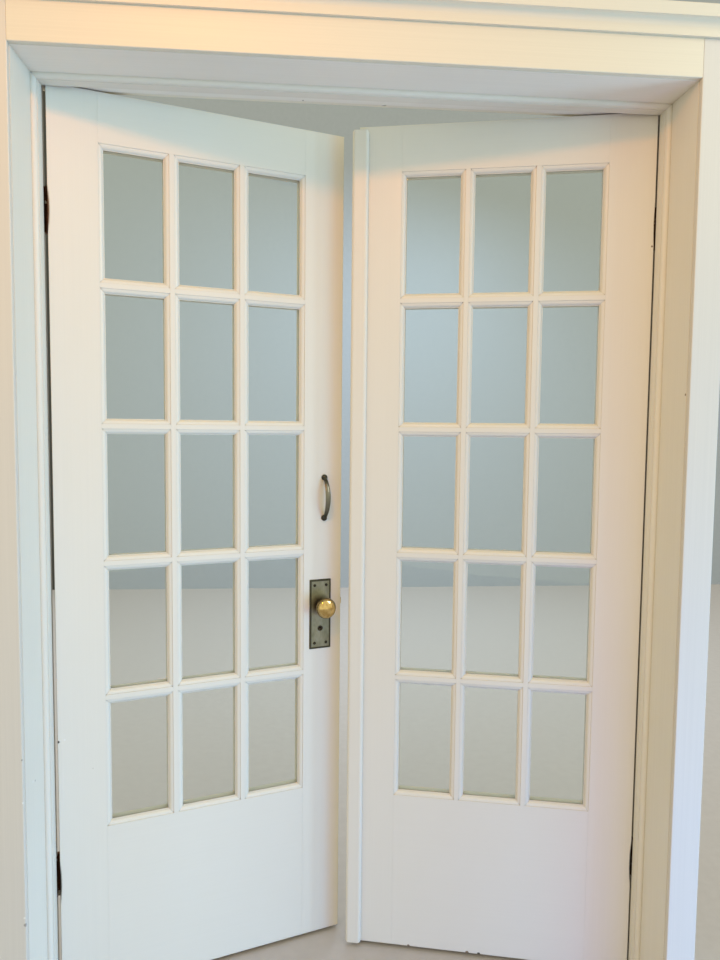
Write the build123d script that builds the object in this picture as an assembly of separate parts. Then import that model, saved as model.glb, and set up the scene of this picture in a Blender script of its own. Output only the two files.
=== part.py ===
from build123d import *
from math import asin, atan2, cos, radians, sin, tan
import os

# French doors in their frame: two glazed leaves with fifteen lites each, an active left leaf with a mortise
# lock and an inactive right leaf with an astragal and two slide bolts.
# Millimetres. X runs right, Y away from the near side, Z up. The origin is at floor level in the middle of
# the opening, on the plane of the closed leaves' near faces. Both leaves swing away from the near side.
# Each leaf is built shut in a frame of its own: s from its hinge edge, y from its near face, z from its foot.

os.makedirs("parts", exist_ok=True)

# Leaves
leaf_width = 711.0
leaf_height = 2128.0
leaf_thickness = 44.0
stile_width = 119.0
top_rail_height = 124.0
bottom_rail_height = 425.0
bar_width = 36.0
lite_columns = 3
lite_rows = 5
lock_edge_bevel = 3.0
left_rest_angle = 18.8
right_rest_angle = 13.55

# Gaps round the shut leaves
side_gap = 3.0
meeting_gap = 4.0
head_gap = 3.0
floor_gap = 10.0

# Sticking: the ovolo moulding worked on the near edges of stiles, rails and bars
sticking_width = 12.0
sticking_depth = 11.0
quirk = 1.5
ovolo_width = 10.5
ovolo_depth = 7.5

# Mortise and tenon joints
tenon_thickness = 14.0
tenon_length = 70.0
tenon_shoulder = 24.0
tenon_parting = 60.0
tenon_clearance = 0.2
tenon_end_room = 2.0
stub_length = 4.0
stub_shoulder = 2.0

# Glass and glazing beads
glass_thickness = 4.0
glass_clearance = 2.0
bead_width = 11.0
bead_depth = 26.0
bead_splay = 7.0
bead_clearance = 0.3

# Astragal on the near face of the right leaf
astragal_width = 41.0
astragal_thickness = 13.0
astragal_overhang = 17.0
astragal_rebate = 1.0
astragal_edge_radius = 8.0
astragal_corner_radius = 7.0
astragal_head_clearance = 1.0

# Jambs and stops
jamb_thickness = 19.0
jamb_reveal = 147.0
jamb_horn = 20.0
head_housing = 6.0
stop_thickness = 12.0
stop_width = 35.0
stop_clearance = 0.5
stop_moulding = 9.0
stop_quirk = 1.5

# Near casings, frieze and cap
casing_width = 69.0
casing_thickness = 12.0
casing_reveal = 1.0
casing_edge_radius = 2.0
frieze_height = 81.0
cap_bead_height = 15.0
cap_bead_projection = 7.0
cap_cove_height = 16.0
cap_cove_projection = 15.0
cap_band_height = 24.0
cap_band_step = 4.0
cap_band_lean = 4.0

# Far casings
far_casing_width = 70.0
far_casing_thickness = 19.0
far_side_reveal = 7.0
far_head_reveal = 3.0

# Butt hinges
lower_hinge_height = 290.0
upper_hinge_drop = 263.0
hinge_heights = (lower_hinge_height, leaf_height - upper_hinge_drop)
hinge_height = 102.0
hinge_plate_width = 34.0
hinge_plate_thickness = 2.5
hinge_axis_offset = 6.5
knuckle_radius = 6.0
knuckle_count = 5
knuckle_gap = 0.4
pin_radius = 3.0
pin_fit = 0.05
pin_head_radius = 5.0
pin_head_height = 3.0
plate_screw_pitch = 36.0
plate_screw_stagger = 6.0

# Wood screws
screw_radius = 2.2
screw_head_radius = 4.2
screw_length = 17.0
screw_clearance = 0.1

# Mortise lock
knob_height = 908.0
backset = 60.3
keyhole_drop = 61.4
case_thickness = 16.0
case_above = 34.0
case_below = 82.0
case_behind = 32.0
case_wall = 1.5
case_fit = 0.3
face_width = 22.0
face_thickness = 2.5
face_overlap = 22.0
bolt_thickness = 12.0
bolt_clearance = 0.3
latch_height = 16.0
latch_projection = 12.0
latch_body = 26.0
latch_web = 6.0
tail_height = 4.5
tail_drop = 24.0
lip_width = 4.0
lip_gap = 1.0
lip_height = 10.5
deadbolt_height = 18.0
deadbolt_length = 46.0
deadbolt_drop = 43.0
deadbolt_throw = 15.0
deadbolt_setback = 0.5
talon_width = 8.0
talon_depth = 5.0

# Follower, spindle and knobs
hub_radius = 8.5
hub_boss_radius = 6.5
hub_fit = 0.08
finger_length = 16.0
finger_width = 5.0
spindle_size = 8.0
spindle_fit = 0.1
spindle_hole_radius = 9.0
knob_radius = 27.0
knob_thickness = 34.0
knob_rim_radius = 14.0
knob_waist = 2.0
knob_projection = 62.0
knob_neck_radius = 9.0
knob_fit = 0.1
knob_grip = 18.0

# Latch spring
spring_radius = 3.6
spring_wire = 0.6
spring_turns = 5
spring_seat = 0.3
post_width = 3.0
post_gap = 2.0

# Back plates
plate_width = 60.0
plate_height = 187.0
plate_thickness = 2.5
plate_drop = 25.0
plate_corner_radius = 2.0
plate_bevel_depth = 1.6
plate_screw_across = 32.4
plate_screw_along = 155.4
collar_radius = 13.0
collar_height = 5.0
keyhole_radius = 3.2
keyhole_slot = 9.0
keyhole_slot_width = 3.0
round_head_radius = 4.0
round_head_height = 2.2
small_screw_radius = 1.7
small_screw_length = 10.0

# Bow pull above the lock
pull_above_knob = 285.8
pull_height = knob_height + pull_above_knob
pull_inset = 50.7
pull_centres = 107.0
pull_projection = 30.0
pull_foot_radius = 8.0
pull_foot_base = 3.0
pull_foot_dome = 6.0
bow_width_middle = 14.0
bow_width_end = 9.0
bow_depth_middle = 6.0
bow_depth_end = 6.5
bow_sections = 7
pull_screw_radius = 2.0
pull_screw_grip = 6.0

# Strike plate in the meeting edge of the right leaf
strike_width = 24.0
strike_thickness = 2.5
strike_above = 30.0
strike_below = 74.0
strike_room = 1.5
pocket_room = 3.0

# Slide bolts on the far face of the right leaf
slide_inset = 55.0
slide_radius = 4.2
slide_axis_offset = 7.0
slide_length = 190.0
slide_setback = 4.0
slide_throw_up = 25.0
slide_plate_width = 28.0
slide_plate_height = 176.0
slide_plate_thickness = 2.3
guide_height = 12.0
guide_width = 18.0
guide_wall = 2.8
guide_fit = 0.06
slide_knob_radius = 6.0
slide_knob_neck = 3.2
slide_knob_projection = 20.0
keeper_hole_radius = 5.5
keeper_hole_room = 5.0

# Places worked out from the sizes above
stile_core = stile_width - sticking_width
top_core = top_rail_height - sticking_width
bottom_core = bottom_rail_height - sticking_width
bar_core = bar_width - 2 * sticking_width
lite_width = (leaf_width - 2 * stile_width - (lite_columns - 1) * bar_width) / lite_columns
lite_height = (leaf_height - top_rail_height - bottom_rail_height - (lite_rows - 1) * bar_width) / lite_rows
column_pitch = lite_width + bar_width
row_pitch = lite_height + bar_width
half_opening = meeting_gap / 2 + leaf_width + side_gap
head_z = floor_gap + leaf_height + head_gap
hinge_axis_x = half_opening - side_gap / 2
hinge_axis_y = leaf_thickness + hinge_axis_offset
casing_inner = half_opening + casing_reveal
casing_outer = casing_inner + casing_width
casing_top = head_z + casing_reveal + frieze_height
lock_s = leaf_width - backset
lock_y = leaf_thickness / 2
plate_z = knob_height - plate_drop
bevel_loss = leaf_thickness * tan(radians(lock_edge_bevel))
case_front = leaf_width - bevel_loss - face_thickness
slide_s = leaf_width - slide_inset
slide_y = leaf_thickness + slide_axis_offset


def block(x0, x1, y0, y1, z0, z1):
    """A block between two opposite corners."""
    middle = Pos((x0 + x1) / 2, (y0 + y1) / 2, (z0 + z1) / 2)
    return middle * Box(x1 - x0, y1 - y0, z1 - z0)


def rod_y(x, z, y0, y1, radius):
    """A round bar along Y."""
    return Pos(x, (y0 + y1) / 2, z) * Rot(90, 0, 0) * Cylinder(radius, y1 - y0)


def rod_z(x, y, z0, z1, radius):
    """A round bar along Z."""
    return Pos(x, y, (z0 + z1) / 2) * Cylinder(radius, z1 - z0)


def along_y(outline, y0, y1):
    """A solid whose outline, given as (x, z) points, is the same from y0 to y1."""
    plane = Plane(origin=(0, y0, 0), x_dir=(1, 0, 0), z_dir=(0, -1, 0))
    return extrude(plane * make_face(Polyline(*outline, close=True)), y0 - y1)


def along_z(outline, z0, z1):
    """A solid whose outline, given as (x, y) points, is the same from z0 to z1."""
    return extrude(Plane.XY.offset(z0) * make_face(Polyline(*outline, close=True)), z1 - z0)


def save(name, *shapes):
    """One STEP file for a node, holding every solid of the shapes given."""
    solids = [solid for shape in shapes for solid in shape.solids()]
    export_step(Compound(solids), "parts/" + name + ".step")


def hang(shape, rest_angle):
    """Leaf frame to door frame for the left leaf, swung open on its hinge pins."""
    shut = Pos(side_gap - half_opening, 0, floor_gap) * shape
    swing = Pos(-hinge_axis_x, hinge_axis_y, 0) * Rot(0, 0, rest_angle) * Pos(hinge_axis_x, -hinge_axis_y, 0)
    return swing * shut


def hang_left(*shapes):
    """Pieces of the left leaf in their rest place."""
    return [hang(shape, left_rest_angle) for shape in shapes]


def hang_right(*shapes):
    """Pieces of the right leaf, which hangs as the mirror image, in their rest place."""
    return [mirror(hang(shape, right_rest_angle), about=Plane.YZ) for shape in shapes]


def dome(radius, height, start):
    """Edges of a half dome on the axis: its rim at (radius, start), its crown at (0, start + height)."""
    ball = (radius**2 + height**2) / (2 * abs(height))
    half = asin(radius / ball) / 2
    rise = abs(height) - ball * (1 - cos(half))
    side = 1 if height > 0 else -1
    crown = (0, start + height)
    return [
        ThreePointArc((radius, start), (ball * sin(half), start + side * rise), crown),
        Line(crown, (0, start)),
        Line((0, start), (radius, start)),
    ]


# Screws

def countersunk_screw(room=0.0):
    """A flat-headed wood screw along +Z, its head flush at the origin, or its hole where room is given."""
    head = Cone(screw_head_radius + room, screw_radius + room, hinge_plate_thickness)
    shank = Cylinder(screw_radius + room, screw_length + room)
    return Pos(0, 0, hinge_plate_thickness / 2) * head + Pos(0, 0, (screw_length + room) / 2) * shank


def screws_at(places, room=0.0):
    """Flat-headed screws, or their holes, at the places given."""
    screw = countersunk_screw(room)
    return [place * screw for place in places]


def round_head_screw():
    """A small dome-headed screw along +Z whose head stands on the XY plane."""
    head = Rot(90, 0, 0) * revolve(make_face(dome(round_head_radius, -round_head_height, 0)), Axis.Y)
    return head + Pos(0, 0, small_screw_length / 2) * Cylinder(small_screw_radius, small_screw_length)


# Stiles, rails and bars

def moulded_edge(line, side):
    """Edges down one moulded side of a member: quirk, ovolo, fillet, lip, and back to the core."""
    foot = quirk + ovolo_depth
    ovolo_radius = (ovolo_width**2 + ovolo_depth**2) / (2 * ovolo_depth)
    half = asin(ovolo_width / ovolo_radius) / 2
    knee_x = ovolo_radius * sin(half)
    knee_y = quirk + ovolo_radius * (1 - cos(half))
    edge, lip = line + side * ovolo_width, line + side * sticking_width
    return [
        Line((line, 0), (line, quirk)),
        ThreePointArc((line, quirk), (line + side * knee_x, knee_y), (edge, foot)),
        Line((edge, foot), (lip, foot)),
        Line((lip, foot), (lip, sticking_depth)),
        Line((lip, sticking_depth), (line, sticking_depth)),
        Line((line, sticking_depth), (line, leaf_thickness)),
    ]


def member(core_left, core_right, length, moulded_sides):
    """A length of moulded stock along Z, centred on its length, near face at y = 0."""
    edges = [Line((core_left, y), (core_right, y)) for y in (0, leaf_thickness)]
    for line, side in ((core_left, -1), (core_right, 1)):
        if side in moulded_sides:
            edges += moulded_edge(line, side)
        else:
            edges.append(Line((line, 0), (line, leaf_thickness)))
    return extrude(make_face(edges), length / 2, both=True)


def edge_stock(core, length):
    """Stile or rail stock: moulded on its +X side, where the core ends at x = 0."""
    return member(-core, 0, length, (1,))


def bar_stock(length):
    """Glazing bar stock, moulded on both sides."""
    return member(-bar_core / 2, bar_core / 2, length, (-1, 1))


def hinge_stile_stock():
    return Pos(stile_core, 0, leaf_height / 2) * edge_stock(stile_core, leaf_height)


def free_stile_stock():
    place = Pos(leaf_width - stile_core, 0, leaf_height / 2) * Rot(0, 180, 0)
    return place * edge_stock(stile_core, leaf_height)


def bottom_rail_stock():
    place = Pos(leaf_width / 2, 0, bottom_core) * Rot(0, -90, 0)
    return place * edge_stock(bottom_core, leaf_width - 2 * stile_core)


def top_rail_stock():
    place = Pos(leaf_width / 2, 0, leaf_height - top_core) * Rot(0, 90, 0)
    return place * edge_stock(top_core, leaf_width - 2 * stile_core)


def rail_tenons(room=0.0):
    """Tenons on both ends of both rails, one on the top rail and two on the deep bottom rail."""
    near = (leaf_thickness - tenon_thickness) / 2 - room
    far = leaf_thickness - near
    middle = bottom_core / 2
    heights = (
        (tenon_shoulder, middle - tenon_parting / 2),
        (middle + tenon_parting / 2, bottom_core - tenon_shoulder),
        (leaf_height - top_core + tenon_shoulder, leaf_height - tenon_shoulder),
    )
    reach = tenon_length + (tenon_end_room if room else 0)
    tenons = []
    for low, high in heights:
        for shoulder, end in ((stile_core, stile_core - reach), (leaf_width - stile_core,) * 2):
            start = end if shoulder == stile_core else shoulder
            stop = shoulder if shoulder == stile_core else shoulder + reach
            tenons.append(block(start, stop, near, far, low - room, high + room))
    return tenons


def bar_stub(direction, room=0.0):
    """The stub tenon on one end of a bar along X whose shoulder is at x = 0."""
    half = bar_core / 2 - stub_shoulder + room
    near, far = sticking_depth + stub_shoulder - room, leaf_thickness - stub_shoulder + room
    ends = sorted((0, direction * (stub_length + room)))
    return block(ends[0], ends[1], near, far, -half, half)


def cross_bar():
    """A cross bar along X, its ends coped over the mouldings of the uprights beside it and stub-tenoned."""
    length = lite_width + 2 * sticking_width
    bar = Rot(0, 90, 0) * bar_stock(length)
    for side in (-1, 1):
        neighbour = edge_stock(bar_core, 2 * bar_width)
        turn = 0 if side == -1 else 180
        shoulder = side * length / 2
        bar = bar - Pos(shoulder, 0, 0) * Rot(0, turn, 0) * neighbour + Pos(shoulder, 0, 0) * bar_stub(side)
    return bar


def cross_bars():
    """Cross bars in every column between the rows of lites."""
    bar = cross_bar()
    first = stile_width + lite_width / 2
    foot = bottom_rail_height - bar_width / 2
    return [
        Pos(first + column * column_pitch, 0, foot + row * row_pitch) * bar
        for column in range(lite_columns)
        for row in range(1, lite_rows)
    ]


def upright_bar():
    """One upright bar along Z, foot at the bottom rail's core, mortised for the cross bars' stubs."""
    length = leaf_height - bottom_core - top_core
    bar = Pos(0, 0, length / 2) * bar_stock(length)
    for height, turn in ((0, -90), (length, 90)):
        bar = bar - Pos(0, 0, height) * Rot(0, turn, 0) * edge_stock(bar_core, 2 * bar_width)
    for height, direction in ((0, 1), (length, -1)):
        bar = bar + Pos(0, 0, height) * Rot(0, 90, 0) * bar_stub(direction)
    for row in range(1, lite_rows):
        height = sticking_width + row * row_pitch - bar_width / 2
        for side in (-1, 1):
            mortise = Pos(side * bar_core / 2, 0, height) * bar_stub(-side, tenon_clearance)
            bar = bar - mortise
    return bar


def upright_bars():
    """Upright bars between the columns of lites."""
    bar = upright_bar()
    return [
        Pos(stile_width + column * column_pitch - bar_width / 2, 0, bottom_core) * bar
        for column in range(1, lite_columns)
    ]


def stub_mortises():
    """Mortises in the stiles and rails that take the bars' stub tenons."""
    cuts = []
    for row in range(1, lite_rows):
        height = bottom_rail_height + row * row_pitch - bar_width / 2
        cuts.append(Pos(stile_core, 0, height) * bar_stub(-1, tenon_clearance))
        cuts.append(Pos(leaf_width - stile_core, 0, height) * bar_stub(1, tenon_clearance))
    for column in range(1, lite_columns):
        across = stile_width + column * column_pitch - bar_width / 2
        for height, direction in ((bottom_core, 1), (leaf_height - top_core, -1)):
            cuts.append(Pos(across, 0, height) * Rot(0, 90, 0) * bar_stub(direction, tenon_clearance))
    return cuts


def rails():
    """Bottom and top rail, coped over the stiles' mouldings, with their tenons."""
    stiles = [hinge_stile_stock(), free_stile_stock()]
    tenons = rail_tenons()
    bottom = bottom_rail_stock() - stiles + tenons[:4] - stub_mortises()
    top = top_rail_stock() - stiles + tenons[4:] - stub_mortises()
    return bottom, top


def hinge_stile():
    """The stile that carries the hinges, let in for their plates and drilled for their screws."""
    stile = hinge_stile_stock() - rail_tenons(tenon_clearance) - stub_mortises()
    for height in hinge_heights:
        low, high = height - hinge_height / 2, height + hinge_height / 2
        near = leaf_thickness - hinge_plate_width
        stile = stile - block(0, hinge_plate_thickness, near, leaf_thickness, low, high)
    return stile - screws_at(leaf_screw_places(), screw_clearance)


def free_stile():
    """The stile at the leaf's free edge, before its own hardware is let in."""
    return free_stile_stock() - rail_tenons(tenon_clearance) - stub_mortises()


# Glass and beads

def lite_places():
    """The middle of every lite."""
    return [
        Pos(
            stile_width + lite_width / 2 + column * column_pitch,
            0,
            bottom_rail_height + lite_height / 2 + row * row_pitch,
        )
        for column in range(lite_columns)
        for row in range(lite_rows)
    ]


def panes():
    """A pane of glass in every rebate, bearing on the back of the moulding."""
    half_w = lite_width / 2 + sticking_width - glass_clearance
    half_h = lite_height / 2 + sticking_width - glass_clearance
    pane = block(-half_w, half_w, sticking_depth, sticking_depth + glass_thickness, -half_h, half_h)
    return [place * pane for place in lite_places()]


def bead_strip(length):
    """A splayed bead along X, mitred at both ends, its back on z = 0 and its inner side towards +Z."""
    near = sticking_depth + glass_thickness
    far = near + bead_depth
    flat = bead_width - bead_splay
    section = [(0, near), (bead_width, near), (bead_width, far - bead_splay), (flat, far), (0, far)]
    strip = Rot(0, -90, 0) * along_z(section, -length / 2, length / 2)
    tip = length / 2 - bead_width
    mitre = along_y([(-length / 2, 0), (length / 2, 0), (tip, bead_width), (-tip, bead_width)], near, far)
    return strip & mitre


def glazing_beads():
    """Four mitred beads on the far side of every pane."""
    half_w = lite_width / 2 + sticking_width - bead_clearance
    half_h = lite_height / 2 + sticking_width - bead_clearance
    flat, tall = bead_strip(2 * half_w), bead_strip(2 * half_h)
    ring = [
        Pos(0, 0, -half_h) * flat,
        Pos(0, 0, half_h) * Rot(0, 180, 0) * flat,
        Pos(-half_w, 0, 0) * Rot(0, 90, 0) * tall,
        Pos(half_w, 0, 0) * Rot(0, -90, 0) * tall,
    ]
    return [place * strip for place in lite_places() for strip in ring]


# Hinges

def knuckle_bands(own):
    """Low and high end of each knuckle, from the foot of the hinge: 0 for the frame's, 1 for the leaf's."""
    length = (hinge_height - (knuckle_count - 1) * knuckle_gap) / knuckle_count
    pitch = length + knuckle_gap
    return [(i * pitch, i * pitch + length) for i in range(knuckle_count) if i % 2 == own]


def hinge_plate(reach, own):
    """A hinge plate foot at z = 0, pin axis along Z at the origin, its face at x = reach from the axis."""
    side = 1 if reach > 0 else -1
    faces = sorted((reach, reach + side * hinge_plate_thickness))
    near = -hinge_axis_offset - hinge_plate_width
    plate = block(faces[0], faces[1], near, -hinge_axis_offset, 0, hinge_height)
    for low, high in knuckle_bands(own):
        plate = plate + block(faces[0], faces[1], -hinge_axis_offset, 0, low, high)
        plate = plate + rod_z(0, 0, low, high, knuckle_radius)
    return plate - rod_z(0, 0, 0, hinge_height, pin_radius + pin_fit)


def screw_rows():
    """Places of a hinge plate's three screws: distance from its pin edge and height from its middle."""
    middle = hinge_plate_width / 2
    return [(middle - plate_screw_stagger * (-1) ** i, (i - 1) * plate_screw_pitch) for i in range(3)]


def leaf_screw_places():
    """Screws of both leaf plates, driven into the hinge edge."""
    return [
        Pos(0, leaf_thickness - across, height + along) * Rot(0, 90, 0)
        for height in hinge_heights
        for across, along in screw_rows()
    ]


def frame_screw_places():
    """Screws of both plates on the left jamb."""
    return [
        Pos(-half_opening, leaf_thickness - across, floor_gap + height + along) * Rot(0, -90, 0)
        for height in hinge_heights
        for across, along in screw_rows()
    ]


def leaf_hinge_plates():
    """Both hinge plates of a leaf, in the leaf frame."""
    cuts = screws_at(leaf_screw_places(), screw_clearance)
    plates = []
    for height in hinge_heights:
        place = Pos(-side_gap / 2, hinge_axis_y, height - hinge_height / 2)
        plates.append(place * hinge_plate(side_gap / 2, 1) - cuts)
    return plates


def frame_hinge_plates():
    """Both hinge plates on the left jamb."""
    cuts = screws_at(frame_screw_places(), screw_clearance)
    plates = []
    for height in hinge_heights:
        place = Pos(-hinge_axis_x, hinge_axis_y, floor_gap + height - hinge_height / 2)
        plates.append(place * hinge_plate(-side_gap / 2, 0) - cuts)
    return plates


def hinge_pins():
    """Loose pins of the left hinges, each with a button head that rests on the top knuckle."""
    pins = []
    for height in hinge_heights:
        foot = floor_gap + height - hinge_height / 2
        top = foot + hinge_height
        pin = rod_z(-hinge_axis_x, hinge_axis_y, foot, top, pin_radius)
        pins.append(pin + rod_z(-hinge_axis_x, hinge_axis_y, top, top + pin_head_height, pin_head_radius))
    return pins


# Mortise lock, in the leaf frame

def edge_s(y):
    """Where the bevelled free edge of the left leaf lies at depth y."""
    return leaf_width - bevel_loss * (1 - y / leaf_thickness)


def face_prism(thickness, low, high, width):
    """A plate that follows the bevelled edge."""
    near, far = lock_y - width / 2, lock_y + width / 2
    outline = [
        (edge_s(near) - thickness, near),
        (edge_s(near), near),
        (edge_s(far), far),
        (edge_s(far) - thickness, far),
    ]
    return along_z(outline, low, high)


def bolt_slot(height, drop, depth_from, depth_to, room):
    """The slot that a bolt of the lock runs in."""
    half_t, half_h = bolt_thickness / 2 + room, height / 2 + room
    middle = knob_height - drop
    return block(depth_from, depth_to, lock_y - half_t, lock_y + half_t, middle - half_h, middle + half_h)


def lock_case():
    """A sheet case, open inside, with a boss hole on each side and the post that backs the latch spring."""
    low, high = knob_height - case_below, knob_height + case_above
    back = lock_s - case_behind
    near, far = lock_y - case_thickness / 2, lock_y + case_thickness / 2
    shell = block(back, case_front, near, far, low, high)
    case = shell - offset(shell, -case_wall, kind=Kind.INTERSECTION)
    slot_back = case_front - 2 * case_wall
    case = case - bolt_slot(latch_height, 0, slot_back, case_front, bolt_clearance)
    case = case - bolt_slot(deadbolt_height, deadbolt_drop, slot_back, case_front, bolt_clearance)
    case = case - rod_y(lock_s, knob_height, near, far, hub_boss_radius + hub_fit)
    case = case - keyhole(near, far)
    post_s = lock_s + hub_radius + post_gap
    half = spring_radius + spring_wire
    low, high = knob_height - half, knob_height + half
    return case + block(post_s, post_s + post_width, near + case_wall, far - case_wall, low, high)


def lock_faceplate():
    """The lock's face plate, let in flush with the bevelled edge."""
    low, high = knob_height - case_below - face_overlap, knob_height + case_above + face_overlap
    plate = face_prism(face_thickness, low, high, face_width)
    plate = plate - bolt_slot(latch_height, 0, case_front, leaf_width, bolt_clearance)
    plate = plate - bolt_slot(deadbolt_height, deadbolt_drop, case_front, leaf_width, bolt_clearance)
    return plate - screws_at(face_screw_places(), screw_clearance)


def face_screw_places():
    """Two screws that hold the face plate and the lock in the edge."""
    heights = (knob_height - case_below - face_overlap / 2, knob_height + case_above + face_overlap / 2)
    return [Pos(edge_s(lock_y), lock_y, z) * Rot(0, -90, 0) * Rot(-lock_edge_bevel, 0, 0) for z in heights]


def latch_bolt():
    """The sprung latch bolt: bevelled head, web, and a tail with the lip that the follower's finger pulls."""
    tip, shoulder = edge_s(lock_y) + latch_projection, leaf_width - latch_body
    lip_s = lock_s - finger_width / 2 - lip_gap
    top, bottom = knob_height + latch_height / 2, knob_height - latch_height / 2
    tail = knob_height - tail_drop
    outline = [
        (tip, top),
        (shoulder, top),
        (shoulder, tail + tail_height),
        (lip_s, tail + tail_height),
        (lip_s, tail + tail_height + lip_height),
        (lip_s - lip_width, tail + tail_height + lip_height),
        (lip_s - lip_width, tail),
        (shoulder + latch_web, tail),
        (shoulder + latch_web, bottom),
        (tip, bottom),
    ]
    near, far = lock_y - bolt_thickness / 2, lock_y + bolt_thickness / 2
    bevel = [(tip - latch_projection, near), (tip, near), (tip, far - 1)]
    return along_y(outline, near, far) - along_z(bevel, bottom, top)


def latch_spring():
    """A compression spring between the spring post of the case and the back of the latch head."""
    start = lock_s + hub_radius + post_gap + post_width + spring_seat + spring_wire
    end = leaf_width - latch_body - spring_seat - spring_wire
    coil = Helix((end - start) / spring_turns, end - start, spring_radius)
    wire = sweep(Plane(origin=coil @ 0, z_dir=coil % 0) * Circle(spring_wire), coil)
    return Pos(start, lock_y, knob_height) * Rot(0, 90, 0) * wire


def dead_bolt():
    """The dead bolt, drawn back, with the talon that the key turns against."""
    front = edge_s(lock_y) - deadbolt_setback
    low = knob_height - deadbolt_drop - deadbolt_height / 2
    middle = lock_s
    near, far = lock_y - bolt_thickness / 2, lock_y + bolt_thickness / 2
    bolt = block(front - deadbolt_length, front, near, far, low, low + deadbolt_height)
    return bolt - block(middle, middle + talon_width, near, far, low, low + talon_depth)


def keyhole(y0, y1, room=0.0):
    """The keyhole: a round hole over a slot."""
    middle = knob_height - keyhole_drop
    half = keyhole_slot_width / 2 + room
    slot = block(lock_s - half, lock_s + half, y0, y1, middle - keyhole_slot - room, middle)
    return rod_y(lock_s, middle, y0, y1, keyhole_radius + room) + slot


def lock_follower():
    """The follower that the spindle turns, with its finger hanging in front of the latch's lip."""
    half = case_thickness / 2
    cheek = half - case_wall - bolt_clearance
    hub = rod_y(lock_s, knob_height, lock_y - cheek, lock_y + cheek, hub_radius)
    boss = rod_y(lock_s, knob_height, lock_y - half, lock_y + half, hub_boss_radius)
    finger = block(
        lock_s - finger_width / 2,
        lock_s + finger_width / 2,
        lock_y - cheek,
        lock_y + cheek,
        knob_height - finger_length,
        knob_height,
    )
    return hub + boss + finger - spindle(spindle_fit)


def spindle(room=0.0):
    """The square spindle from knob to knob."""
    half = spindle_size / 2 + room
    reach = plate_thickness + knob_projection - knob_thickness + knob_grip / 2
    return block(
        lock_s - half,
        lock_s + half,
        -reach - room,
        leaf_thickness + reach + room,
        knob_height - half,
        knob_height + half,
    )


def knob(side):
    """A turned knob on the near side (-1) or the far side (1), its neck running in the plate's collar."""
    start = plate_thickness
    half = knob_thickness / 2
    widest = knob_projection - half
    rim = knob_radius - knob_rim_radius
    crown_radius = (half**2 + rim**2 - knob_rim_radius**2) / (2 * (half - knob_rim_radius))
    crown_middle = knob_projection - crown_radius
    lean = atan2(widest - crown_middle, rim)
    outline = [Line((0, start), (knob_neck_radius, start))]
    outline.append(Line(outline[-1] @ 1, (knob_neck_radius, widest - knob_rim_radius - knob_waist)))
    outline.append(Line(outline[-1] @ 1, (rim, widest - knob_rim_radius)))
    for middle_x, middle_y, radius, first, last in (
        (rim, widest, knob_rim_radius, -radians(90), lean),
        (0, crown_middle, crown_radius, lean, radians(90)),
    ):
        angles = (first, (first + last) / 2, last)
        points = [(middle_x + radius * cos(a), middle_y + radius * sin(a)) for a in angles]
        outline.append(ThreePointArc(*points))
    outline.append(Line((0, knob_projection), (0, start)))
    place = Pos(lock_s, 0 if side == -1 else leaf_thickness, knob_height)
    turn = Rot(180, 0, 0) if side == -1 else Rot(0, 0, 0)
    return place * turn * revolve(make_face(outline), Axis.Y) - spindle(spindle_fit)


def plate_screw_places(side):
    """The four corner screws of a back plate."""
    face = -plate_thickness if side == -1 else leaf_thickness + plate_thickness
    return [
        Pos(lock_s + across * plate_screw_across / 2, face, plate_z + along * plate_screw_along / 2)
        * Rot(90 * side, 0, 0)
        for across in (-1, 1)
        for along in (-1, 1)
    ]


def back_plate(side):
    """A back plate with the knob's collar and the keyhole, on the near side (-1) or the far side (1)."""
    inner, outer = (0, -plate_thickness) if side == -1 else (leaf_thickness, leaf_thickness + plate_thickness)
    low, high = min(inner, outer), max(inner, outer)
    plate = block(
        lock_s - plate_width / 2,
        lock_s + plate_width / 2,
        low,
        high,
        plate_z - plate_height / 2,
        plate_z + plate_height / 2,
    )
    plate = fillet(plate.edges().filter_by(Axis.Y), plate_corner_radius)
    rim_edges = plate.faces().sort_by(Axis.Y)[0 if side == -1 else -1].edges()
    plate = chamfer(rim_edges, plate_bevel_depth)
    rim = outer + side * collar_height
    plate = plate + rod_y(lock_s, knob_height, min(outer, rim), max(outer, rim), collar_radius)
    plate = plate - rod_y(lock_s, knob_height, min(inner, rim), max(inner, rim), knob_neck_radius + knob_fit)
    plate = plate - keyhole(low, high)
    hole = Cylinder(small_screw_radius + screw_clearance, 4 * plate_thickness)
    return plate - [place * hole for place in plate_screw_places(side)]


def back_plate_screws():
    """Dome-headed screws of both back plates."""
    screw = round_head_screw()
    return [place * screw for side in (-1, 1) for place in plate_screw_places(side)]


def lock_stile():
    """The left leaf's free stile, bevelled, and let in for the lock and for the screws of its hardware."""
    stile = free_stile()
    corner = [(leaf_width - bevel_loss, 0), (leaf_width, 0), (leaf_width, leaf_thickness)]
    stile = stile - along_z(corner, 0, leaf_height)
    low, high = knob_height - case_below, knob_height + case_above
    stile = stile - face_prism(face_thickness, low - face_overlap, high + face_overlap, face_width)
    half = case_thickness / 2 + case_fit
    back = lock_s - case_behind - case_fit
    stile = stile - block(back, leaf_width, lock_y - half, lock_y + half, low - case_fit, high + case_fit)
    stile = stile - rod_y(lock_s, knob_height, 0, leaf_thickness, spindle_hole_radius)
    stile = stile - keyhole(0, leaf_thickness, 1)
    stile = stile - screws_at(face_screw_places(), screw_clearance)
    hole = Cylinder(small_screw_radius + screw_clearance, 2 * (small_screw_length + screw_clearance))
    stile = stile - [place * hole for side in (-1, 1) for place in plate_screw_places(side)]
    return stile - pull_screws(screw_clearance)


# Bow pull, in the leaf frame

def pull_foot_places():
    """The middles of the pull's two feet on the near face."""
    return [(leaf_width - pull_inset, pull_height + end * pull_centres / 2) for end in (-1, 1)]


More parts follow.
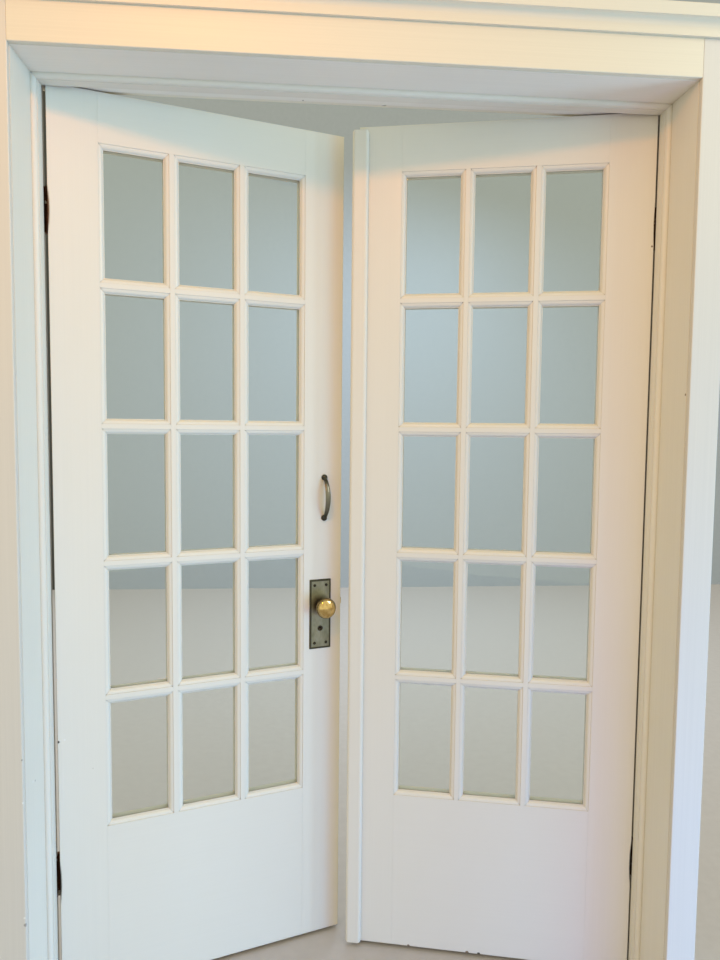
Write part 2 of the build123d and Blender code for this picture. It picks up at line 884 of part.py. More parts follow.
def pull_handle():
    """A bow pull: two turned feet and an arched strap that swells in the middle, all one casting."""
    s = leaf_width - pull_inset
    foot_y = -pull_foot_base - pull_foot_dome / 3
    route = ThreePointArc(
        (s, foot_y, pull_height - pull_centres / 2),
        (s, -pull_projection, pull_height),
        (s, foot_y, pull_height + pull_centres / 2),
    )
    sections = []
    for i in range(bow_sections):
        along = i / (bow_sections - 1)
        swell = sin(radians(180 * along))
        width = bow_width_end + (bow_width_middle - bow_width_end) * swell
        depth = bow_depth_end + (bow_depth_middle - bow_depth_end) * swell
        plane = Plane(origin=route @ along, x_dir=(1, 0, 0), z_dir=route % along)
        sections.append(plane * Ellipse(width / 2, depth / 2))
    handle = loft(sections)
    for foot_s, foot_z in pull_foot_places():
        base = rod_y(foot_s, foot_z, -pull_foot_base, 0, pull_foot_radius)
        crown = dome(pull_foot_radius, -pull_foot_dome, -pull_foot_base)
        handle = handle + base + Pos(foot_s, 0, foot_z) * revolve(make_face(crown), Axis.Y)
    return handle - pull_screws(screw_clearance)


def pull_screws(room=0.0):
    """Machine screws through the stile into the feet, their heads let into the far face."""
    screws = []
    for s, z in pull_foot_places():
        sunk = leaf_thickness - round_head_height - room
        shank = rod_y(s, z, -pull_screw_grip - room, leaf_thickness, pull_screw_radius + room)
        head = rod_y(s, z, sunk, leaf_thickness, round_head_radius + room)
        screws.append(shank + head)
    return screws


# Right leaf's own hardware, in the leaf frame

def astragal():
    """The cover strip on the meeting stile: near edges and corners round, cut off just under the head stop."""
    left, right = leaf_width - (astragal_width - astragal_overhang), leaf_width + astragal_overhang
    top = leaf_height + head_gap - stop_thickness - astragal_head_clearance
    strip = block(left, right, -astragal_thickness, 0, 0, top)
    near_edges = strip.edges().filter_by(Axis.Z).sort_by(Axis.Y)[:2]
    strip = fillet(near_edges, astragal_edge_radius)
    outline = block(left, right, -astragal_thickness, 0, 0, top)
    outline = fillet(outline.edges().filter_by(Axis.Y), astragal_corner_radius)
    return (strip & outline) - block(leaf_width, right, -astragal_rebate, 0, 0, top)


def bolt_pocket(height, drop, depth, room):
    """Room for a bolt of the lock in the meeting stile or its strike plate."""
    half_t, half_h = bolt_thickness / 2 + room, height / 2 + room
    low, high = knob_height - drop - half_h, knob_height - drop + half_h
    return block(leaf_width - depth, leaf_width, lock_y - half_t, lock_y + half_t, low, high)


def strike_bounds():
    return knob_height - strike_below, knob_height + strike_above


def strike_screw_places():
    """Two screws of the strike plate."""
    low, high = strike_bounds()
    inset = screw_head_radius * 2
    return [Pos(leaf_width, lock_y, z) * Rot(0, -90, 0) for z in (low + inset, high - inset)]


def strike_plate():
    """The strike plate, let in flush with the meeting edge."""
    low, high = strike_bounds()
    near, far = lock_y - strike_width / 2, lock_y + strike_width / 2
    plate = block(leaf_width - strike_thickness, leaf_width, near, far, low, high)
    plate = plate - bolt_pocket(latch_height, 0, strike_thickness, strike_room)
    plate = plate - bolt_pocket(deadbolt_height, deadbolt_drop, strike_thickness, strike_room)
    return plate - screws_at(strike_screw_places(), screw_clearance)


def slide_screw_places(low):
    """Four screws in the corners of a slide bolt's plate."""
    inset = screw_head_radius + 1
    across = slide_plate_width / 2 - inset
    return [
        Pos(slide_s + side * across, leaf_thickness + slide_plate_thickness, z) * Rot(90, 0, 0)
        for side in (-1, 1)
        for z in (low + guide_height + 2 * inset, low + slide_plate_height - guide_height - 2 * inset)
    ]


def slide_case(low):
    """A slide bolt's plate with a guide at each end and one in the middle."""
    far = slide_y + slide_radius + guide_wall
    plate = block(
        slide_s - slide_plate_width / 2,
        slide_s + slide_plate_width / 2,
        leaf_thickness,
        leaf_thickness + slide_plate_thickness,
        low,
        low + slide_plate_height,
    )
    span = slide_plate_height - guide_height
    for i in range(3):
        foot = low + i * span / 2
        left, right = slide_s - guide_width / 2, slide_s + guide_width / 2
        plate = plate + block(left, right, leaf_thickness, far, foot, foot + guide_height)
    bore = rod_z(slide_s, slide_y, low, low + slide_plate_height, slide_radius + guide_fit)
    return plate - bore - screws_at(slide_screw_places(low), screw_clearance)


def slide_bolt(foot, knob_z):
    """A slide bolt: a round rod with the button that the hand pushes."""
    rod = rod_z(slide_s, slide_y, foot, foot + slide_length, slide_radius)
    neck = rod_y(slide_s, knob_z, slide_y, slide_y + slide_knob_projection, slide_knob_neck)
    ball = Pos(slide_s, slide_y + slide_knob_projection, knob_z) * Sphere(slide_knob_radius)
    return rod + neck + ball


def top_slide():
    """Foot of the plate, foot of the rod and height of the button of the top bolt."""
    rod_foot = leaf_height - slide_setback - slide_length
    plate_foot = leaf_height - slide_setback - slide_plate_height
    lower_bay = plate_foot + guide_height + knuckle_gap + slide_knob_radius
    return plate_foot, rod_foot, lower_bay


def bottom_slide():
    """Foot of the plate, foot of the rod and height of the button of the bottom bolt."""
    plate_foot = slide_setback
    upper_bay = plate_foot + slide_plate_height - guide_height - knuckle_gap - slide_knob_radius
    return plate_foot, slide_setback, upper_bay


def meeting_stile():
    """The right leaf's free stile, let in for the strike plate and bored for the lock's bolts and screws."""
    low, high = strike_bounds()
    near, far = lock_y - strike_width / 2, lock_y + strike_width / 2
    latch_depth = latch_projection - meeting_gap + pocket_room
    deadbolt_depth = deadbolt_throw - meeting_gap + pocket_room
    stile = free_stile() - block(leaf_width - strike_thickness, leaf_width, near, far, low, high)
    stile = stile - bolt_pocket(latch_height, 0, latch_depth, strike_room)
    stile = stile - bolt_pocket(deadbolt_height, deadbolt_drop, deadbolt_depth, strike_room)
    slide_places = slide_screw_places(top_slide()[0]) + slide_screw_places(bottom_slide()[0])
    return stile - screws_at(strike_screw_places() + slide_places, screw_clearance)


# Frame

def side_jamb():
    """The left jamb with its horn and the housing that takes the head jamb."""
    top = head_z + jamb_thickness + jamb_horn
    jamb = block(-half_opening - jamb_thickness, -half_opening, -jamb_reveal, leaf_thickness, 0, top)
    jamb = jamb - head_jamb()
    for height in hinge_heights:
        low = floor_gap + height - hinge_height / 2
        near = leaf_thickness - hinge_plate_width
        face = -half_opening - hinge_plate_thickness
        jamb = jamb - block(face, -half_opening, near, leaf_thickness, low, low + hinge_height)
    return jamb - screws_at(frame_screw_places(), screw_clearance)


def head_jamb():
    """The head jamb, its ends housed in the side jambs."""
    reach = half_opening + head_housing
    return block(-reach, reach, -jamb_reveal, leaf_thickness, head_z, head_z + jamb_thickness)


def stop_section():
    """Section of a stop: back on x = 0, far face at y = 0, moulded on its near arris."""
    near, face = -stop_width, stop_thickness
    start, foot = near + stop_moulding, face - stop_moulding
    bend = stop_moulding * cos(radians(45))
    return make_face(
        [
            Line((0, 0), (face, 0)),
            Line((face, 0), (face, start)),
            Line((face, start), (face - stop_quirk, start)),
            ThreePointArc(
                (face - stop_quirk, start),
                (foot - stop_quirk + bend, start - bend),
                (foot - stop_quirk, near),
            ),
            Line((foot - stop_quirk, near), (0, near)),
            Line((0, near), (0, 0)),
        ]
    )


def side_stop():
    """The left stop, up to the head jamb."""
    return Pos(-half_opening, -stop_clearance, 0) * extrude(stop_section(), head_z)


def head_stop():
    """The head stop, coped over both side stops."""
    length = 2 * half_opening
    stop = Pos(-half_opening, -stop_clearance, head_z) * Rot(0, 90, 0) * extrude(stop_section(), length)
    return stop - side_stop() - mirror(side_stop(), about=Plane.YZ)


def side_casing():
    """The left near casing, a flat board with eased near edges, up to the cap."""
    far = -jamb_reveal
    board = block(-casing_outer, -casing_inner, far - casing_thickness, far, 0, casing_top)
    return fillet(board.edges().filter_by(Axis.Z).sort_by(Axis.Y)[:2], casing_edge_radius)


def frieze():
    """The head casing, fitted between the side casings under the cap."""
    far = -jamb_reveal
    foot = casing_top - frieze_height
    board = block(-casing_inner, casing_inner, far - casing_thickness, far, foot, casing_top)
    return fillet(board.edges().filter_by(Axis.X).sort_by(Axis.Y)[0], casing_edge_radius)


def cap_outline():
    """Outline of the cap as (projection from the casing's face, height), from the back over the front."""
    cove_foot = cap_bead_height
    cove_top = cove_foot + cap_cove_height
    cove_out = cap_bead_projection + cap_cove_projection
    band_out = cove_out + cap_band_step
    bend = cos(radians(45))
    top = cove_top + cap_band_height
    return [
        Line((0, 0), (cap_bead_projection, 0)),
        Line((cap_bead_projection, 0), (cap_bead_projection, cove_foot)),
        ThreePointArc(
            (cap_bead_projection, cove_foot),
            (cove_out - cap_cove_projection * bend, cove_foot + cap_cove_height * bend),
            (cove_out, cove_top),
        ),
        Line((cove_out, cove_top), (band_out, cove_top)),
        Line((band_out, cove_top), (band_out + cap_band_lean, top)),
        Line((band_out + cap_band_lean, top), (0, top)),
        Line((0, top), (0, 0)),
    ]


def cap_moulding():
    """The cap over the casings, the same moulding along the front and returned at both ends."""
    face = -jamb_reveal - casing_thickness
    project = cap_bead_projection + cap_cove_projection + cap_band_step + cap_band_lean
    reach = casing_outer + project
    height = cap_bead_height + cap_cove_height + cap_band_height
    front_plane = Plane(origin=(reach, face, casing_top), x_dir=(0, -1, 0), z_dir=(-1, 0, 0))
    front = extrude(front_plane * make_face(cap_outline()), 2 * reach)
    front = front + block(-reach, reach, face, -jamb_reveal, casing_top, casing_top + height)
    end_plane = Plane(origin=(casing_outer, -jamb_reveal, casing_top), x_dir=(1, 0, 0), z_dir=(0, -1, 0))
    end = extrude(end_plane * make_face(cap_outline()), casing_thickness + project)
    middle = block(-casing_outer, casing_outer, face - project, -jamb_reveal, casing_top, casing_top + height)
    return front & (middle + end + mirror(end, about=Plane.YZ))


def far_side_casing():
    """The left far casing, set back from the jamb's edge to leave room for the hinge knuckles."""
    inner = half_opening + far_side_reveal
    far = leaf_thickness + far_casing_thickness
    return block(-inner - far_casing_width, -inner, leaf_thickness, far, 0, head_z + far_head_reveal)


def far_head_casing():
    """The far head casing, drilled from below for the top bolt."""
    reach = half_opening + far_side_reveal + far_casing_width
    low = head_z + far_head_reveal
    far = leaf_thickness + far_casing_thickness
    casing = block(-reach, reach, leaf_thickness, far, low, low + far_casing_width)
    bolt_x = half_opening - side_gap - slide_s
    top = floor_gap + leaf_height - slide_setback + slide_throw_up + keeper_hole_room
    return casing - rod_z(bolt_x, slide_y, low, top, keeper_hole_radius)


def both(piece):
    """A piece of the left side with its mirror image on the right."""
    return piece, mirror(piece, about=Plane.YZ)


def write_frame():
    for name, piece in (
        ("jamb", side_jamb()),
        ("stop", side_stop()),
        ("casing", side_casing()),
        ("back_casing", far_side_casing()),
    ):
        left, right = both(piece)
        save(name + "_left", left)
        save(name + "_right", right)
    save("head_jamb", head_jamb())
    save("head_stop", head_stop())
    save("head_casing", frieze())
    save("cap_moulding", cap_moulding())
    save("back_casing_head", far_head_casing())
    for name, pieces in (("frame_hinge_plates", frame_hinge_plates()), ("hinge_pins", hinge_pins())):
        save(name + "_left", *pieces)
        save(name + "_right", *[mirror(piece, about=Plane.YZ) for piece in pieces])
    screws = screws_at(frame_screw_places())
    save("frame_hinge_screws", *screws, *[mirror(screw, about=Plane.YZ) for screw in screws])


def write_leaf(side, hang_piece, free, shared):
    """The pieces that both leaves have: joinery, glass, beads and hinge plates."""
    stile_name = "left_lock_stile" if side == "left" else "right_meeting_stile"
    save(stile_name, *hang_piece(free))
    for name, pieces in shared.items():
        save(side + "_" + name, *hang_piece(*pieces))


def shared_pieces():
    bottom, top = rails()
    return {
        "hinge_stile": [hinge_stile()],
        "bottom_rail": [bottom],
        "top_rail": [top],
        "upright_bars": upright_bars(),
        "cross_bars": cross_bars(),
        "panes": panes(),
        "glazing_beads": glazing_beads(),
        "hinge_plates": leaf_hinge_plates(),
    }


def write_left_hardware():
    for name, pieces in {
        "lock_case": [lock_case()],
        "lock_faceplate": [lock_faceplate()],
        "left_screws": screws_at(leaf_screw_places() + face_screw_places()),
        "near_backplate": [back_plate(-1)],
        "far_backplate": [back_plate(1)],
        "backplate_screws": back_plate_screws(),
        "pull_handle": [pull_handle()],
        "pull_handle_screws": pull_screws(),
        "knob_near": [knob(-1)],
        "knob_far": [knob(1)],
        "spindle": [spindle()],
        "lock_follower": [lock_follower()],
        "latch_bolt": [latch_bolt()],
        "latch_spring": [latch_spring()],
        "dead_bolt": [dead_bolt()],
    }.items():
        save(name, *hang_left(*pieces))


def write_right_hardware():
    top_plate, top_rod, top_button = top_slide()
    bottom_plate, bottom_rod, bottom_button = bottom_slide()
    slide_places = slide_screw_places(top_plate) + slide_screw_places(bottom_plate)
    for name, pieces in {
        "astragal": [astragal()],
        "strike_plate": [strike_plate()],
        "right_screws": screws_at(leaf_screw_places() + strike_screw_places()),
        "top_bolt_case": [slide_case(top_plate)],
        "bottom_bolt_case": [slide_case(bottom_plate)],
        "bolt_screws": screws_at(slide_places),
        "top_bolt": [slide_bolt(top_rod, top_button)],
        "bottom_bolt": [slide_bolt(bottom_rod, bottom_button)],
    }.items():
        save(name, *hang_right(*pieces))


shared = shared_pieces()
write_frame()
write_leaf("left", hang_left, lock_stile(), shared)
write_leaf("right", hang_right, meeting_stile(), shared)
write_left_hardware()
write_right_hardware()
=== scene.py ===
import math

import bmesh
import bpy
from mathutils import Matrix, Vector


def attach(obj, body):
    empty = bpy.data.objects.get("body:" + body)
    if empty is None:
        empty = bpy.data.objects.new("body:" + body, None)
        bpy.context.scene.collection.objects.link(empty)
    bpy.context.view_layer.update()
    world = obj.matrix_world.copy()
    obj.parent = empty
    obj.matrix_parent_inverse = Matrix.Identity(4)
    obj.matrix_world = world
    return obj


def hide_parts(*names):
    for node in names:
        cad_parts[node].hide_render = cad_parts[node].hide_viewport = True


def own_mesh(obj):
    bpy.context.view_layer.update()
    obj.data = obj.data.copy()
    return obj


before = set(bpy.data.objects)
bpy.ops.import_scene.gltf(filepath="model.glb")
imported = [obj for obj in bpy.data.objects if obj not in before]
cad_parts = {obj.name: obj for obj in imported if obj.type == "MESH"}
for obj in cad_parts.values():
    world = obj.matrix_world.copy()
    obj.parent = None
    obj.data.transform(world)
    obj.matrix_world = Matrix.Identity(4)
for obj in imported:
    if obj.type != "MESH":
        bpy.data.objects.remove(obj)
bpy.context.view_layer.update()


# Jambs and head. Three planed boards line the opening, the head housed into the two uprights. They carry many coats
# of cream gloss paint, brushed along each board, so the film shows fine brush lines and a soft ripple; a little dust
# and painted shade darken the corners, and the head's cream is painted lighter for the light on its underside.

hinge_axis = (0.7145, 0.0505)
jamb_face, head_face, head_stop_face = 0.716, 2.141, 2.129
cream = (0.800, 0.775, 0.700)
aged_cream = (0.765, 0.705, 0.590)
corner_dust_and_shade = (0.520, 0.440, 0.330)
fleck_brown = (0.42, 0.35, 0.26)
corner_reach = 0.022
eased_edge = 0.0012
mark_raggedness = 0.003


def node(tree, kind, **settings):
    made = tree.nodes.new("ShaderNode" + kind)
    for name, value in settings.items():
        setattr(made, name, value)
    return made


def plug(tree, source, output, target, entry):
    tree.links.new(source.outputs[output], target.inputs[entry])
    return target


def new_finish(name):
    material = bpy.data.materials.new(name)
    material.use_nodes = True
    tree = material.node_tree
    return material, tree, tree.nodes["Principled BSDF"]


def leaf_place(tree, turn=0.0):
    """Object coordinates, turned back to the shut leaf: X along the leaf from its hinge pin, Z up."""
    place = node(tree, "TexCoord")
    side = -1 if turn > 0 else 1
    pin = Vector((side * hinge_axis[0], hinge_axis[1], 0)) if turn else Vector((0, 0, 0))
    shift = node(tree, "Mapping")
    back = Matrix.Rotation(-turn, 3, "Z")
    shift.inputs["Location"].default_value = -(back @ pin)
    shift.inputs["Rotation"].default_value = (0, 0, -turn)
    return plug(tree, place, "Object", shift, "Vector")


def noise(tree, place, scale, detail=3.0, roughness=0.55):
    made = node(tree, "TexNoise")
    made.inputs["Scale"].default_value = 1.0
    made.inputs["Detail"].default_value = detail
    made.inputs["Roughness"].default_value = roughness
    stretch = node(tree, "Mapping")
    stretch.inputs["Scale"].default_value = scale
    plug(tree, place, "Vector", stretch, "Vector")
    return plug(tree, stretch, "Vector", made, "Vector")


def ramp(tree, source, output, stops):
    """Colours along a node's output: each stop is where it lies and its colour."""
    made = node(tree, "ValToRGB")
    steps = made.color_ramp.elements
    while len(steps) < len(stops):
        steps.new(0.5)
    for step, (at, value) in zip(steps, stops):
        step.position = at
        step.color = value if len(value) == 4 else (*value, 1)
    return plug(tree, source, output, made, "Fac")


def grey(value):
    return (value, value, value, 1)


def blend_colour(tree, share, first, second, kind="MIX"):
    """Mixes two colours by a share: each may be a colour or a node's colour output."""
    made = node(tree, "Mix", data_type="RGBA", blend_type=kind)
    for entry, value in ((0, share), (6, first), (7, second)):
        if isinstance(value, (float, int)):
            made.inputs[entry].default_value = value
        elif isinstance(value, (tuple, list)):
            made.inputs[entry].default_value = (*value[:3], 1)
        else:
            tree.links.new(value, made.inputs[entry])
    return made.outputs[2]


def worked_out(tree, kind, first, second=None, third=None, clamp=False):
    """One step of reckoning: each term may be a number or a node's output."""
    made = node(tree, "Math", operation=kind, use_clamp=clamp)
    for entry, value in enumerate((first, second, third)):
        if isinstance(value, (float, int)):
            made.inputs[entry].default_value = value
        elif value is not None:
            tree.links.new(value, made.inputs[entry])
    return made.outputs[0]


def raised(tree, height, strength, distance, under=None):
    """A surface raised by a height, on top of the one under it."""
    made = node(tree, "Bump")
    made.inputs["Strength"].default_value = strength
    made.inputs["Distance"].default_value = distance
    tree.links.new(height, made.inputs["Height"])
    if under is not None:
        tree.links.new(under, made.inputs["Normal"])
    return made.outputs["Normal"]


def marked(tree, place, tone, marks):
    """Dents and chips, each given by its middle, radius and colour, and by how many times taller than wide it is."""
    ragged = node(tree, "VectorMath", operation="MULTIPLY_ADD")
    grit = noise(tree, place, (700, 700, 700), 2.0)
    tree.links.new(grit.outputs["Color"], ragged.inputs[0])
    ragged.inputs[1].default_value = (mark_raggedness,) * 3
    tree.links.new(place.outputs["Vector"], ragged.inputs[2])
    dents = 0.0
    for middle, radius, colour, tall in marks:
        away = node(tree, "VectorMath", operation="DISTANCE")
        lowered = node(tree, "VectorMath", operation="MULTIPLY")
        lowered.inputs[1].default_value = (1, 1, 1 / tall)
        plug(tree, ragged, 0, lowered, 0)
        plug(tree, lowered, 0, away, 0)
        x, y, z = (at + mark_raggedness / 2 for at in middle)
        away.inputs[1].default_value = (x, y, z / tall)
        nearness = worked_out(tree, "DIVIDE", away.outputs["Value"], radius)
        share = worked_out(tree, "MULTIPLY_ADD", nearness, -2.5, 3.0, clamp=True)
        tone = blend_colour(tree, share, tone, colour)
        dents = worked_out(tree, "MAXIMUM", dents, share)
    return tone, dents


def brushed_paint(name, along, turn=0.0, worn=0.25, marks=(), fresh=cream, brushing=1.9):
    """Old gloss paint brushed along a board: along is "up" or "level", and brushing is how far the lines show."""
    material, tree, shader = new_finish(name)
    place = leaf_place(tree, turn)
    lines = (300, 300, 2.0) if along == "up" else (2.0, 300, 300)
    broad = (22, 22, 1.4) if along == "up" else (1.4, 22, 22)
    hairs = noise(tree, place, lines, 3.0, 0.6)
    laps = noise(tree, place, broad, 3.0, 0.5)
    pits = noise(tree, place, (600, 600, 600), 2.0)
    patches = noise(tree, place, (2.3, 2.3, 1.4), 4.0, 0.6)
    yellowing = ramp(tree, patches, "Fac", ((0.38, grey(0)), (0.72, grey(1))))
    tone = blend_colour(tree, worked_out(tree, "MULTIPLY", yellowing.outputs[0], worn), fresh, aged_cream)
    streak = ramp(tree, hairs, "Fac", ((0.35, grey(1.0 - 0.015 * brushing)), (0.65, grey(1.0))))
    tone = blend_colour(tree, 1.0, tone, streak.outputs[0], "MULTIPLY")
    # Painted shade: the paint is darkened where ambient occlusion finds corners, with a little dust in them too.
    corner = node(tree, "AmbientOcclusion", samples=4)
    corner.inputs["Distance"].default_value = corner_reach
    corner_dust_and_shade_share = ramp(tree, corner, "AO", ((0.30, grey(0.55)), (0.80, grey(0))))
    tone = blend_colour(tree, corner_dust_and_shade_share.outputs[0], tone, corner_dust_and_shade)
    flecks = node(tree, "TexVoronoi")
    flecks.inputs["Scale"].default_value = 7.0
    plug(tree, place, "Vector", flecks, "Vector")
    fleck = ramp(tree, flecks, "Distance", ((0.006, grey(0.55)), (0.011, grey(0))))
    tone = blend_colour(tree, fleck.outputs[0], tone, fleck_brown)
    eased = node(tree, "Bevel", samples=4)
    eased.inputs["Radius"].default_value = eased_edge
    ripple = raised(tree, laps.outputs["Fac"], 0.22, 0.0010, eased.outputs[0])
    film = raised(tree, hairs.outputs["Fac"], 0.085 * brushing, 0.0003, ripple)
    skin = raised(tree, pits.outputs["Fac"], 0.08, 0.0002, film)
    if marks:
        tone, dents = marked(tree, place, tone, marks)
        skin = raised(tree, dents, -0.6, 0.0012, skin)
    tree.links.new(tone, shader.inputs["Base Color"])
    gloss = ramp(tree, laps, "Fac", ((0.3, grey(0.34)), (0.7, grey(0.46))))
    tree.links.new(gloss.outputs[0], shader.inputs["Roughness"])
    tree.links.new(skin, shader.inputs["Normal"])
    shader.inputs["IOR"].default_value = 1.47
    return material


def finish_nodes(material, *names):
    """Gives a finish to pieces of the frame."""
    for name in names:
        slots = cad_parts[name].data.materials
        slots.clear()
        slots.append(material)


bare_wood = (0.200, 0.145, 0.095)
filler_white = (0.840, 0.820, 0.780)
filler_grey = (0.420, 0.400, 0.370)
frame_upright = brushed_paint(
    "cream_paint_frame_upright",
    "up",
    marks=(
        ((jamb_face, -0.1435, 1.469), 0.0026, bare_wood, 1),
        ((-jamb_face, -0.104, 0.608), 0.0030, filler_white, 1),
        ((-jamb_face, -0.091, 0.604), 0.0022, filler_grey, 1),
    ),
)
finish_nodes(frame_upright, "jamb_left", "jamb_right")

# The head's cream is lighter than the jambs': painted light for its brighter underside.
head_cream_painted_lighter = (0.870, 0.840, 0.770)
nail_hole = (0.260, 0.240, 0.220)
head_marks = (
    ((-0.133, 0.040, head_face), 0.0022, nail_hole, 1),
    ((-0.217, -0.022, head_stop_face), 0.0020, filler_white, 1),
)
finish_nodes(brushed_paint("cream_paint_head", "level", fresh=head_cream_painted_lighter, marks=head_marks), "head_jamb")


# Stops. Moulded wooden strips, nailed round the jambs and the head, which the leaves shut against. They were painted
# with the jambs, brushed along their length, and the strip under the head is a shade darker.

stop_cream = (0.775, 0.735, 0.655)
finish_nodes(frame_upright, "stop_left", "stop_right")
finish_nodes(brushed_paint("cream_paint_head_stop", "level", fresh=stop_cream, marks=head_marks), "head_stop")


# Casings, frieze and cap. Flat boards are nailed over the jambs' edges, with a plain frieze board across the head
# and a stepped cap moulding above it. They have the same paint, a little yellower under the cap; the side casings'
# cream is painted darker for the shade that falls on them.

casing_face = -0.159
# The side casings' cream is darker than the jambs': painted shade for the light they lack.
casing_cream_painted_darker = (0.690, 0.665, 0.620)
frieze_cream = (0.790, 0.740, 0.610)
casing_chip = (0.360, 0.340, 0.310)
casing_upright = brushed_paint(
    "cream_paint_casing_upright",
    "up",
    worn=0.30,
    fresh=casing_cream_painted_darker,
    marks=(
        ((-0.7185, casing_face, 0.318), 0.0036, casing_chip, 1),
        ((-0.7200, casing_face, 0.334), 0.0022, filler_white, 1),
        ((-0.7180, casing_face, 0.682), 0.0020, casing_chip, 1),
        ((-0.7180, casing_face, 0.588), 0.0022, filler_white, 1),
    ),
)
casing_level = brushed_paint("cream_paint_casing_level", "level", worn=0.45, fresh=frieze_cream)
finish_nodes(casing_upright, "casing_left", "casing_right", "back_casing_left", "back_casing_right")
finish_nodes(casing_level, "head_casing", "cap_moulding", "back_casing_head")


# Leaves. Wooden stiles and rails are mortised and tenoned, the bars are coped over each other's ovolo moulding, and
# beads hold the glass from the far side. The right leaf carries the astragal. The paint is brushed along each
# member, with stained gains beside the hinges, old screw holes, filler, and chips along the right leaf's foot.

left_turn = math.radians(18.8)
right_turn = math.radians(-13.55)
near_face = -0.0505
rust_stain = (0.080, 0.034, 0.013)
hole_black = (0.012, 0.011, 0.010)
left_marks = (
    ((-0.0025, near_face, 1.867), 0.0075, rust_stain, 7.1),
    ((-0.0025, near_face, 0.306), 0.0070, hole_black, 8.0),
    ((0.0024, near_face, 0.649), 0.0030, hole_black, 1),
    ((0.0165, near_face, 0.652), 0.0024, filler_white, 1),
)
right_marks = (
    ((-0.0002, near_face, 1.878), 0.0028, rust_stain, 18.0),
    ((-0.0010, near_face, 0.298), 0.0036, hole_black, 14.0),
    ((-0.0048, near_face, 1.827), 0.0022, bare_wood, 1),
)
foot_chips = (
    ((-0.560, near_face, 0.0105), 0.0034, bare_wood, 1),
    ((-0.405, near_face, 0.0100), 0.0046, bare_wood, 1),
    ((-0.375, near_face, 0.0100), 0.0040, hole_black, 1),
)
for side, turn, stile_marks, rail_marks in (
    ("left", left_turn, left_marks, ()),
    ("right", right_turn, right_marks, foot_chips),
):
    upright = brushed_paint("cream_paint_" + side + "_leaf_upright", "up", turn, marks=stile_marks, brushing=0.9)
    level = brushed_paint("cream_paint_" + side + "_leaf_level", "level", turn, marks=rail_marks, brushing=0.7)
    free_stile = side + ("_lock_stile" if side == "left" else "_meeting_stile")
    finish_nodes(upright, side + "_hinge_stile", free_stile, side + "_upright_bars")
    finish_nodes(level, side + "_top_rail", side + "_bottom_rail", side + "_cross_bars", side + "_glazing_beads")
    if side == "right":
        finish_nodes(upright, "astragal")


# Panes. Old drawn glass, clear and faintly green, with slow waves that bend what is seen through it. Each pane lies
# against the back of the moulding and is held there by its four beads.

glass, tree, shader = new_finish("old_window_glass")
shader.inputs["Base Color"].default_value = (0.90, 0.95, 0.94, 1)
shader.inputs["Roughness"].default_value = 0.0
shader.inputs["IOR"].default_value = 1.5
shader.inputs["Transmission Weight"].default_value = 1.0
waves = noise(tree, leaf_place(tree), (9, 9, 3.5), 1.5, 0.4)
tree.links.new(raised(tree, waves.outputs["Fac"], 0.35, 0.002), shader.inputs["Normal"])
finish_nodes(glass, "left_panes", "right_panes")


# Hinges. Two steel butt hinges a leaf, with fixed pins, their plates let into stile and jamb. They were painted
# with the doors, and the paint has worn off the knuckles down to dark rust.

rust_browns = ((0.35, (0.060, 0.022, 0.012)), (0.55, (0.150, 0.050, 0.022)), (0.75, (0.270, 0.105, 0.045)))
rusted, tree, shader = new_finish("rusted_hinge_under_paint")
place = leaf_place(tree)
bloom = noise(tree, place, (60, 60, 60), 6.0, 0.65)
grain = noise(tree, place, (420, 420, 420), 4.0, 0.7)
rust = ramp(tree, grain, "Fac", rust_browns)
paint_left = ramp(tree, bloom, "Fac", ((0.60, grey(0)), (0.64, grey(1))))
tree.links.new(blend_colour(tree, paint_left.outputs[0], rust.outputs[0], cream), shader.inputs["Base Color"])
dull = ramp(tree, paint_left, "Color", ((0.0, grey(0.80)), (1.0, grey(0.40))))
tree.links.new(dull.outputs[0], shader.inputs["Roughness"])
crust = raised(tree, grain.outputs["Fac"], 0.5, 0.0006)
tree.links.new(raised(tree, paint_left.outputs[0], 0.6, 0.0004, crust), shader.inputs["Normal"])
finish_nodes(rusted, "frame_hinge_plates_left", "frame_hinge_plates_right", "hinge_pins_left", "hinge_pins_right")
finish_nodes(rusted, "left_hinge_plates", "right_hinge_plates")


# Screws. Slotted wood screws of steel, darkened with age. Flat-headed ones are let in flush in the hinges, the lock
# face, the strike and the slide bolts, small dome-headed ones hold the back plates, and two long ones reach through
# the stile into the feet of the pull.

hinge_heights, hinge_screw_step, middle_screw_inset = (0.300, 1.875), 0.036, -0.012
leaf_plate_face, leaf_screw_line, jamb_screw_line = 0.0015, -0.0175, 0.033
lock_line = -0.0285
lock_face, lock_screw_heights = 0.71155, (0.825, 0.963)
strike_face, strike_screw_heights = -0.7125, (0.8524, 0.9396)
slide_face, slide_screw_lines = -0.0042, (-0.6663, -0.6487)
slide_screw_heights = (0.0364, 0.1676, 1.9804, 2.1116)
plate_near_face, plate_far_face = -0.0530, -0.0040
plate_screw_lines, plate_screw_heights = (0.636, 0.6684), (0.8153, 0.9707)
pull_line, pull_screw_head, pull_screw_heights = 0.6618, -0.0065, (1.1503, 1.2573)
slot_depth, slot_width = 0.0011, 0.0010
first_slot_turn, next_slot_turn = 0.5, 2.3

